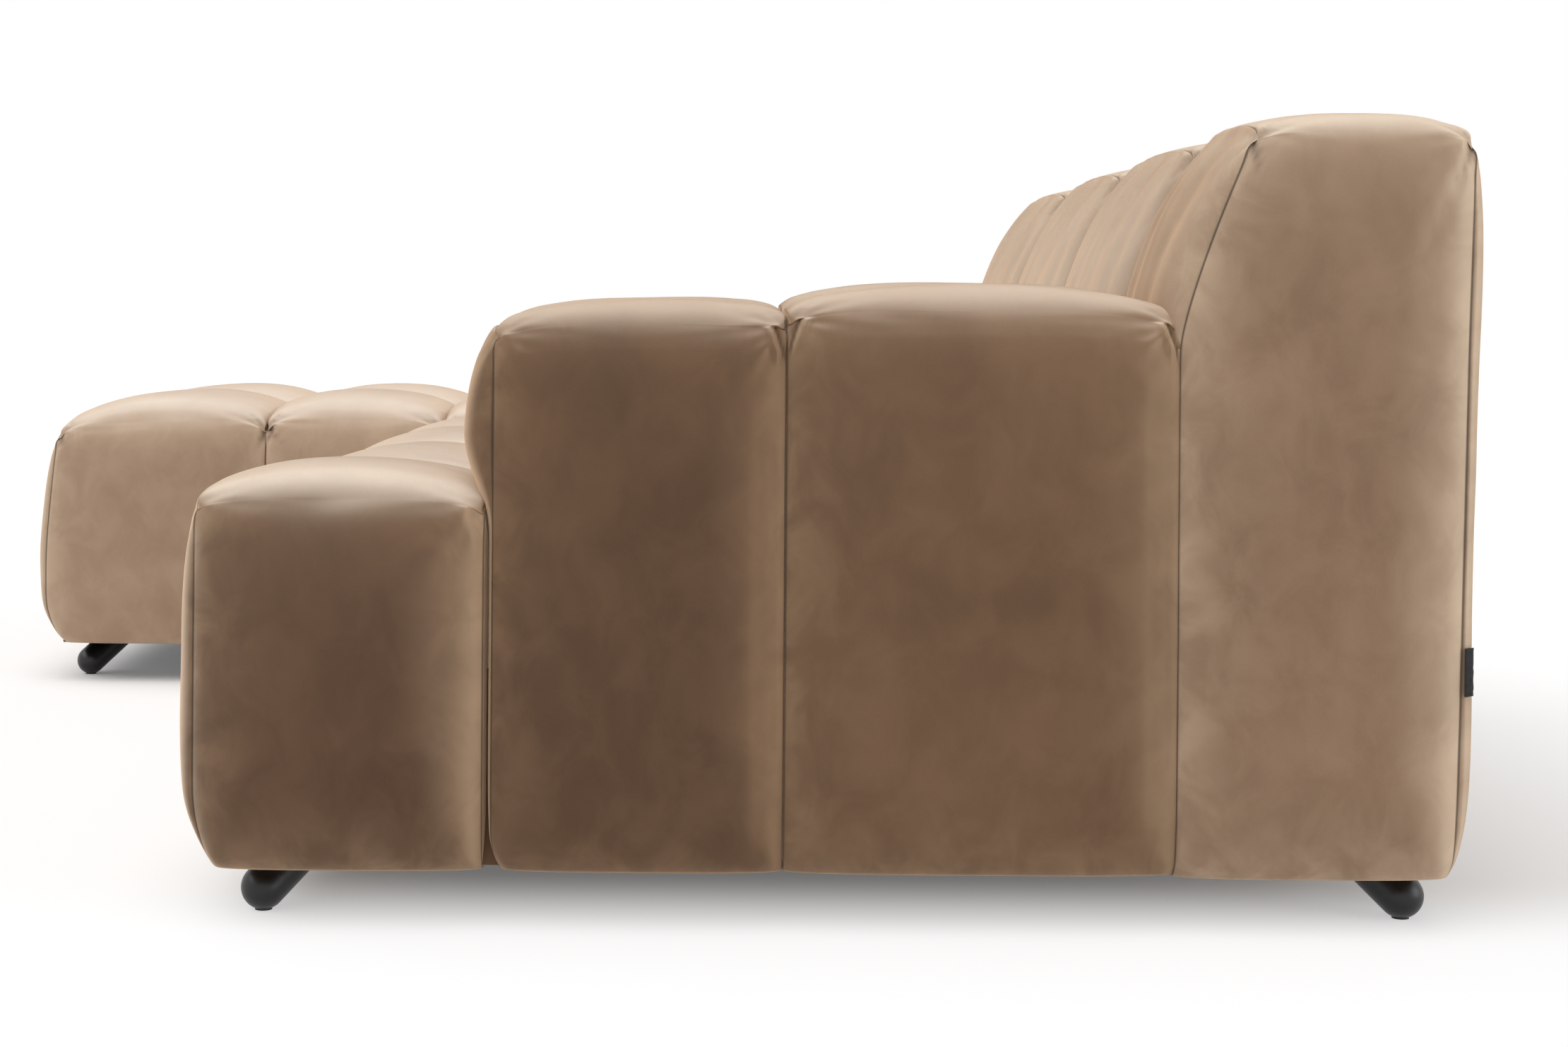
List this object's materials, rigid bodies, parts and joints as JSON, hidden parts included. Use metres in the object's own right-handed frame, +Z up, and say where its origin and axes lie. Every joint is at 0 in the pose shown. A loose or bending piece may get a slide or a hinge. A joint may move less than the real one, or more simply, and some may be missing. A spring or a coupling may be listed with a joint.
{
  "type": "lounge sofa with chaise",
  "caption": "Low lounge sofa with a padded arm, channel-sewn back and seat, a backless chaise at the other end and splayed ball-ended feet.",
  "frame": {"origin": "on the floor, under the middle of the whole sofa's box", "axes": "+X along the length towards the arm, +Y from the front to the back, +Z up"},
  "size_m": [2.55, 1.795, 0.79],
  "materials": {
    "velvet": "short-pile velvet, warm taupe brown",
    "timber": "planed pine",
    "plywood": "birch plywood",
    "hardboard": "pressed hardboard",
    "webbing": "woven elastic webbing",
    "felt": "needled felt",
    "dust_cloth": "black spunbond cloth",
    "foot_black": "satin black",
    "glide_nylon": "nylon",
    "steel": "zinc plated",
    "label_cloth": "woven black tape"
  },
  "bodies": {
    "root": {"arm_front_board": "plywood", "arm_inner_board": "plywood", "arm_outer_board": "plywood", "arm_padding_front": "velvet", "arm_padding_rear": "velvet", "arm_rear_board": "plywood", "arm_top_board": "plywood", "back_padding_channel_1": "velvet", "back_padding_channel_2": "velvet", "back_padding_channel_3": "velvet", "back_padding_channel_4": "velvet", "back_rear_panel": "hardboard", "back_top_rail": "plywood", "back_upright_1": "plywood", "back_upright_2": "plywood", "back_upright_3": "plywood", "back_upright_4": "plywood", "back_upright_5": "plywood", "back_webbing": "webbing", "chaise_corner_blocks": "timber", "chaise_cross_rails": "timber", "chaise_deck_felt": "felt", "chaise_dust_cover": "dust_cloth", "chaise_far_rail": "timber", "chaise_foot_front_left": "foot_black", "chaise_foot_front_right": "foot_black", "chaise_foot_rear_left": "foot_black", "chaise_foot_rear_right": "foot_black", "chaise_front_rail": "timber", "chaise_padding_column_1": "velvet", "chaise_padding_column_2": "velvet", "chaise_rear_rail": "timber", "chaise_sofa_side_rail": "timber", "chaise_webbing": "webbing", "foot_glides": "glide_nylon", "foot_plate_screws": "steel", "foot_plates": "steel", "label_tab": "label_cloth", "module_link_bars": "steel", "module_link_screws": "steel", "seat_cross_rails": "timber", "seat_deck_felt": "felt", "seat_padding_arm_column": "velvet", "seat_padding_column_1": "velvet", "seat_padding_column_2": "velvet", "seat_padding_column_3": "velvet", "seat_rear_rail": "timber", "seat_webbing": "webbing", "sofa_arm_end_rail": "timber", "sofa_arm_rail": "timber", "sofa_chaise_end_rail": "timber", "sofa_corner_blocks": "timber", "sofa_dust_cover": "dust_cloth", "sofa_foot_front_left": "foot_black", "sofa_foot_front_right": "foot_black", "sofa_foot_rear_left": "foot_black", "sofa_foot_rear_right": "foot_black", "sofa_front_rail": "timber", "sofa_rear_rail": "timber"}
  },
  "joints": []
}
